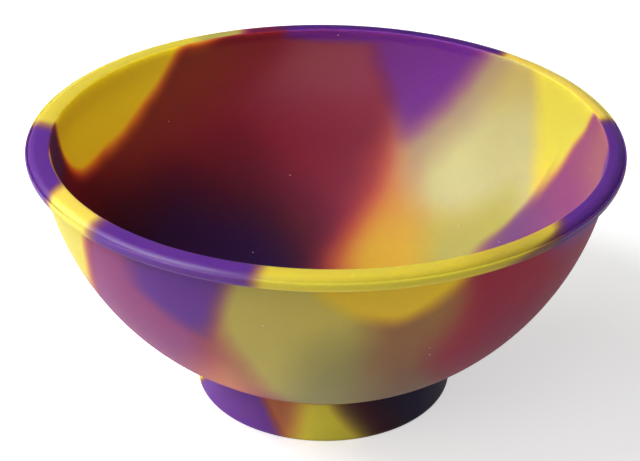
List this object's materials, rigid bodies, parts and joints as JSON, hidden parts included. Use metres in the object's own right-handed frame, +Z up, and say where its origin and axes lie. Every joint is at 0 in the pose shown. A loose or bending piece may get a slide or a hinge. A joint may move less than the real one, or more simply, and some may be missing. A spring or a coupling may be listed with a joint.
{
  "type": "silicone mixing bowl",
  "caption": "Round flexible mixing bowl with a thick overhanging rim bead, a thin domed wall and a flared foot ring, for mixing small amounts of resin, paint or plaster.",
  "frame": {"origin": "centre of the ground plane that the foot ring stands on, on the bowl's axis", "axes": "+Z up along the bowl's axis, out of its mouth; -Y towards the side that the picture was taken from; +X to that viewer's right"},
  "size_m": [0.11, 0.11, 0.0527],
  "materials": {
    "marbled_silicone": "satin moulded silicone, purple and yellow marbled together with maroon, olive and mauve where one lies thinly over the other"
  },
  "bodies": {
    "root": {"rim_bead": "marbled_silicone", "bowl_wall": "marbled_silicone", "foot_ring": "marbled_silicone"}
  },
  "joints": []
}
